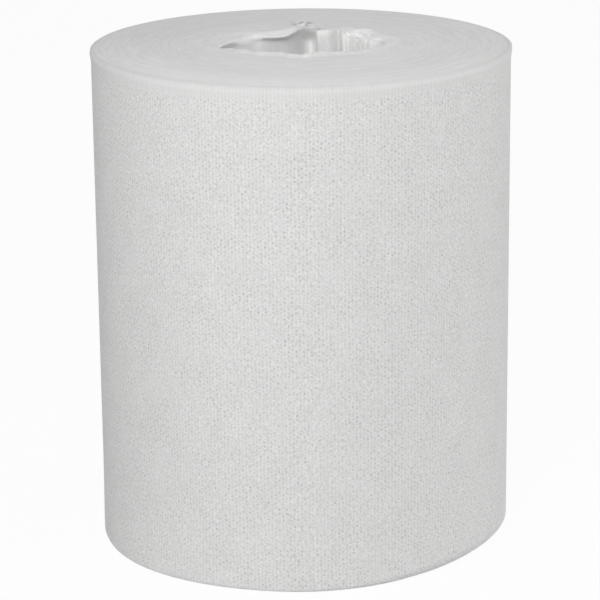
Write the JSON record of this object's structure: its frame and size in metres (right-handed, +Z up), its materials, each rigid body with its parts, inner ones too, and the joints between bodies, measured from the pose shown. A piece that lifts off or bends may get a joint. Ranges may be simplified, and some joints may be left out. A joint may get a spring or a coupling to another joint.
{
  "type": "dry wipe roll",
  "caption": "Upright roll of white embossed nonwoven wipes, wound without a core tube, with a crumpled centre hole from which the web is pulled.",
  "frame": {"origin": "middle of the lower end face, on the roll's axis", "axes": "+Z up along the roll's axis, -Y towards the front as pictured, +X to the right"},
  "size_m": [0.1268, 0.127, 0.1528],
  "materials": {
    "nonwoven_web": "matte, embossed with fine dots"
  },
  "bodies": {
    "root": {"wipe_roll": "nonwoven_web"}
  },
  "joints": []
}
